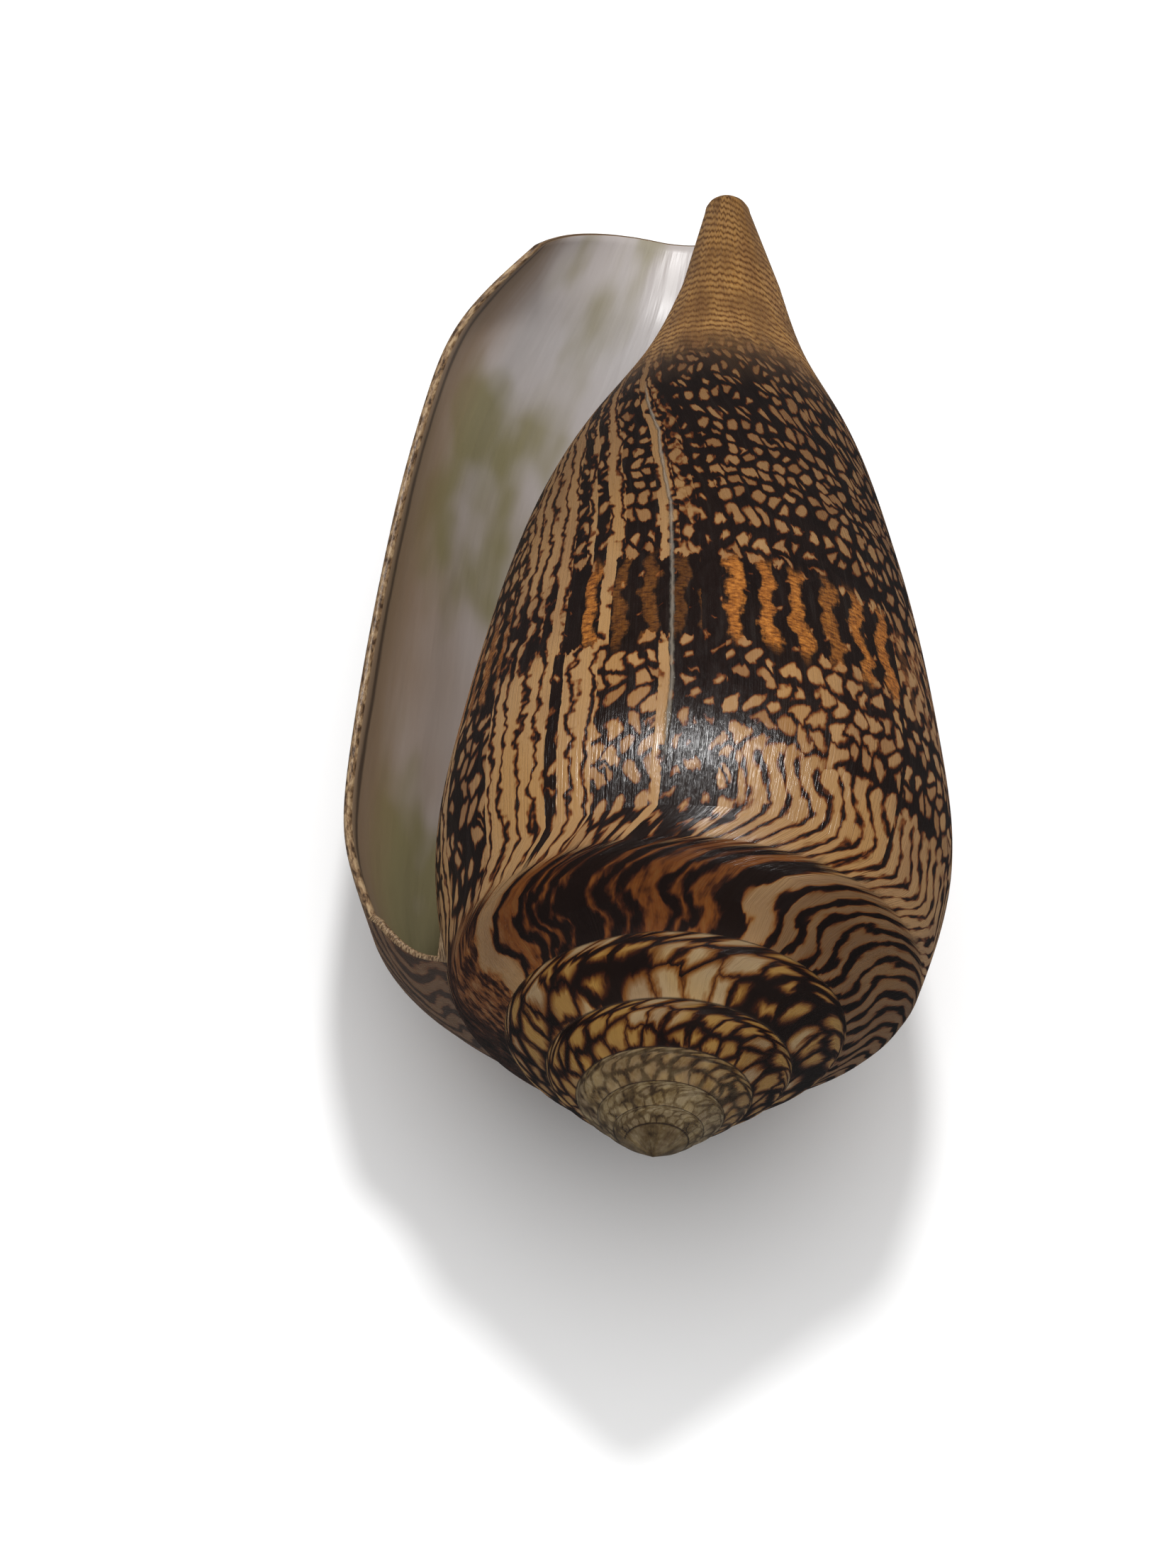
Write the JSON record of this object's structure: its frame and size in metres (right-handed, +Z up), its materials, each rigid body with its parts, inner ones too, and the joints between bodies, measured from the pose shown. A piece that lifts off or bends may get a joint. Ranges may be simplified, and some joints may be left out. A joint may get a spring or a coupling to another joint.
{
  "type": "cone snail shell",
  "caption": "Glossy cone-shaped sea shell with a low pointed spire, a long body whorl and a narrow slit mouth that widens to the front, lying on its back.",
  "frame": {"origin": "centre of the bounding box's bottom face, on the ground under the shell as it lies on its back", "axes": "+Y from the spire to the front (siphon) end, +Z up through the side that holds the mouth, +X away from the outer lip"},
  "size_m": [0.0276, 0.058, 0.0255],
  "materials": {
    "shell": "polished shell: cream cells and wavy stripes on dark brown, lavender grey inside"
  },
  "bodies": {
    "root": {"shell": "shell"}
  },
  "joints": []
}
